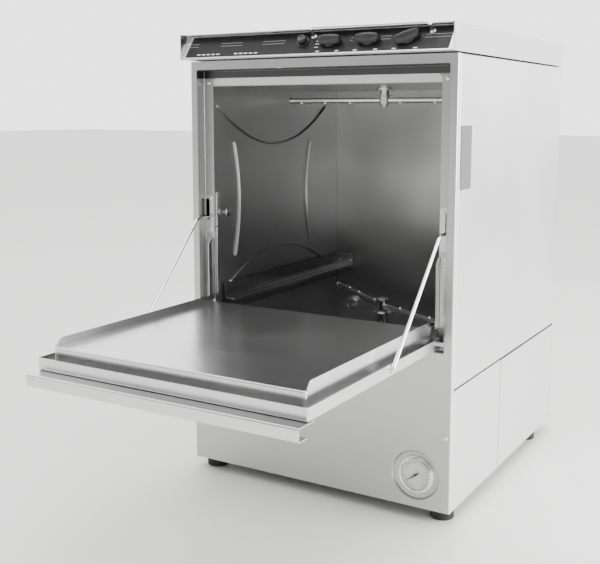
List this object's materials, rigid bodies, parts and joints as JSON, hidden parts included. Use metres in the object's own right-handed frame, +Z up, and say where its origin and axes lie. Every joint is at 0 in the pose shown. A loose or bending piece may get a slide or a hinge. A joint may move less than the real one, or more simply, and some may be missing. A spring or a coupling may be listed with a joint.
{
  "type": "commercial dishwasher",
  "caption": "Undercounter commercial dishwasher with a drop-down door on side rods, twin spray arms, rack rails, a sloped console with selector knobs and a dial thermometer.",
  "frame": {"origin": "centre of the rest-pose box on the floor plane, door open", "axes": "+Z up, the front and the open door face -Y, +X to the right of someone facing the front"},
  "size_m": [0.606, 1.196, 0.946],
  "materials": {
    "brushed_stainless": "satin, fine straight grain",
    "tank_stainless": "satin, wet-side stainless",
    "bright_rod": "polished",
    "black_plastic": "satin moulded",
    "foot_rubber": "matt",
    "console_film": "smooth film",
    "grey_plastic": "moulded",
    "motor_paint": "semi-gloss paint",
    "brass": "cast and turned",
    "dial_face": "matt white",
    "plate_film": "satin film",
    "gauge_glass": "clear"
  },
  "bodies": {
    "cabinet": {"front_panel": "brushed_stainless", "recess_frame": "brushed_stainless", "left_side_panel": "brushed_stainless", "right_side_panel": "brushed_stainless", "left_access_panel": "brushed_stainless", "right_access_panel": "brushed_stainless", "rear_panel": "brushed_stainless", "base_frame": "brushed_stainless", "foot_front_left": "foot_rubber", "foot_front_right": "foot_rubber", "foot_rear_left": "foot_rubber", "foot_rear_right": "foot_rubber", "top_lid": "brushed_stainless", "console_panel": "brushed_stainless", "control_label": "console_film", "knob_guard": "bright_rod", "tank_left_wall": "tank_stainless", "tank_right_wall": "tank_stainless", "tank_rear_wall": "tank_stainless", "tank_ceiling": "tank_stainless", "tank_floor": "tank_stainless", "sump_basin": "tank_stainless", "left_rack_rail": "brushed_stainless", "right_rack_rail": "brushed_stainless", "upper_spindle": "brushed_stainless", "lower_spindle": "brushed_stainless", "wash_pump_housing": "grey_plastic", "wash_motor": "motor_paint", "riser_pipe": "brushed_stainless", "drain_valve": "grey_plastic", "drain_pipe": "grey_plastic", "water_inlet_valve": "brass", "tank_port_plug": "bright_rod", "door_switch": "brushed_stainless", "control_box": "motor_paint", "cable_gland": "black_plastic", "door_hinge_pin_left": "bright_rod", "door_hinge_pin_right": "bright_rod", "rod_bracket_left": "brushed_stainless", "rod_bracket_right": "brushed_stainless", "splash_fin_left": "brushed_stainless", "splash_fin_right": "brushed_stainless", "gauge_housing": "bright_rod", "gauge_dial": "dial_face", "gauge_lens": "gauge_glass", "rating_plate": "plate_film"},
    "door": {"door_outer_pan": "brushed_stainless", "door_inner_pan": "brushed_stainless", "door_handle": "brushed_stainless"},
    "rod_left": {"door_rod_left": "bright_rod"},
    "rod_right": {"door_rod_right": "bright_rod"},
    "knob_1": {"selector_knob_1": "black_plastic"},
    "knob_2": {"selector_knob_2": "black_plastic"},
    "knob_3": {"selector_knob_3": "black_plastic"},
    "button": {"power_button": "black_plastic"},
    "upper_arm": {"upper_spray_arm": "brushed_stainless"},
    "lower_arm": {"lower_spray_arm": "brushed_stainless"},
    "impeller": {"pump_impeller": "grey_plastic"},
    "needle": {"gauge_needle": "black_plastic"},
    "basket": {"scrap_basket": "brushed_stainless"}
  },
  "joints": [
    {"name": "door_hinge", "type": "hinge", "parent": "cabinet", "child": "door", "pos_m": [0, -0.083, 0.352], "axis": [-1, 0, 0], "range_deg": [0, 90]},
    {"name": "rod_left_pivot", "type": "hinge", "parent": "door", "child": "rod_left", "pos_m": [-0.276, -0.298, 0.354], "axis": [1, 0, 0], "range_deg": [0, 43.5]},
    {"name": "rod_right_pivot", "type": "hinge", "parent": "door", "child": "rod_right", "pos_m": [0.276, -0.298, 0.354], "axis": [1, 0, 0], "range_deg": [0, 43.5]},
    {"name": "knob_1_turn", "type": "hinge", "parent": "cabinet", "child": "knob_1", "pos_m": [0.046, -0.10243, 0.91656], "axis": [0, -0.7953, 0.6062], "range_deg": [-45, 45]},
    {"name": "knob_2_turn", "type": "hinge", "parent": "cabinet", "child": "knob_2", "pos_m": [0.127, -0.10243, 0.91656], "axis": [0, -0.7953, 0.6062], "range_deg": [-45, 45]},
    {"name": "knob_3_turn", "type": "hinge", "parent": "cabinet", "child": "knob_3", "pos_m": [0.207, -0.10243, 0.91656], "axis": [0, -0.7953, 0.6062], "range_deg": [-69, 21]},
    {"name": "button_press", "type": "slide", "parent": "cabinet", "child": "button", "axis": [0, 0.7953, -0.6062], "range_m": [0, 0.003], "stiffness_N_per_m": 400},
    {"name": "upper_arm_spin", "type": "hinge", "parent": "cabinet", "child": "upper_arm", "pos_m": [0, 0.23, 0.811], "axis": [0, 0, 1], "continuous": true},
    {"name": "lower_arm_spin", "type": "hinge", "parent": "cabinet", "child": "lower_arm", "pos_m": [0, 0.23, 0.341], "axis": [0, 0, 1], "continuous": true},
    {"name": "impeller_spin", "type": "hinge", "parent": "cabinet", "child": "impeller", "pos_m": [0, 0.222, 0.125], "axis": [0, 1, 0], "continuous": true},
    {"name": "needle_sweep", "type": "hinge", "parent": "cabinet", "child": "needle", "pos_m": [0.2287, -0.09, 0.0887], "axis": [0, 1, 0], "range_deg": [0, 265]},
    {"name": "basket_lift", "type": "slide", "parent": "cabinet", "child": "basket", "axis": [0, 0, 1], "range_m": [0, 0.067]}
  ],
  "couplings": [
    {"joint": "rod_left_pivot", "follows": "door_hinge", "ratio": 0.48091},
    {"joint": "rod_right_pivot", "follows": "door_hinge", "ratio": 0.48091}
  ]
}
